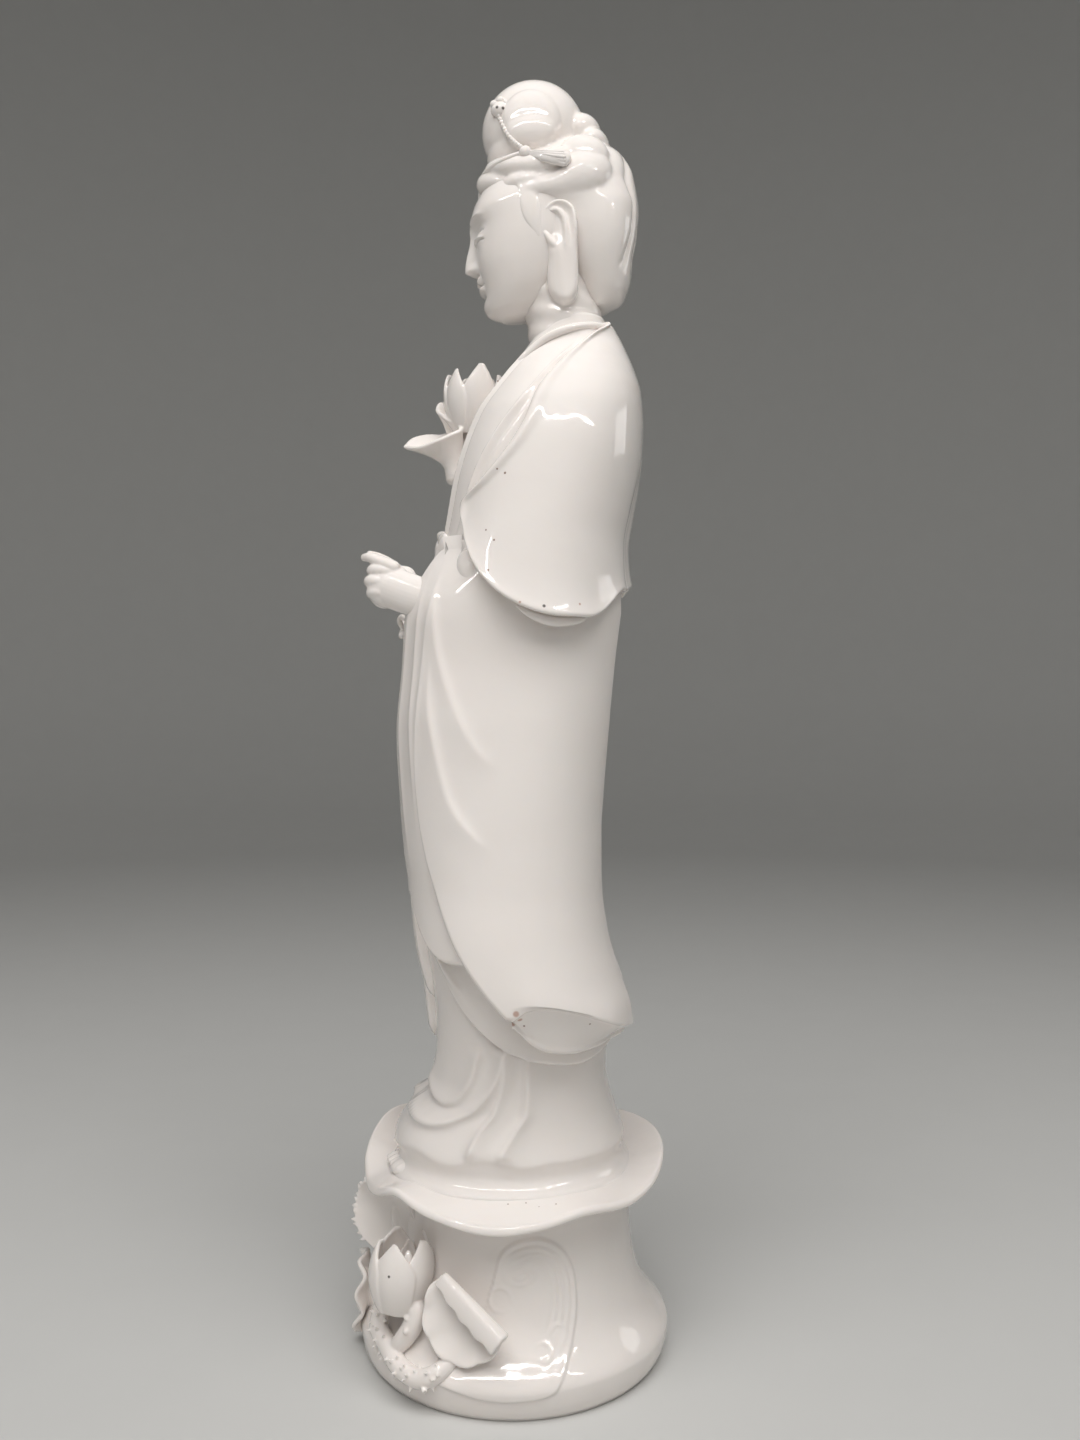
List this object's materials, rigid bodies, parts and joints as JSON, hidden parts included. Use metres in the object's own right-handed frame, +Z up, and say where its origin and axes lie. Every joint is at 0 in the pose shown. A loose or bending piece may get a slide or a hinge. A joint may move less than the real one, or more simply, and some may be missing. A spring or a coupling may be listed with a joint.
{
  "type": "guanyin figure",
  "caption": "White glazed porcelain Guanyin standing on a wavy leaf above a flared round plinth, a lotus spray in one hand.",
  "frame": {"origin": "middle of the flat underside of the round plinth", "axes": "+Z up through the figure, -Y the way the figure faces, +X the figure's left"},
  "size_m": [0.1024, 0.1039, 0.4175],
  "materials": {
    "white_glaze": "clear glossy glaze over a warm white porcelain body, with small iron specks"
  },
  "bodies": {
    "root": {"guanyin_on_plinth": "white_glaze"}
  },
  "joints": []
}
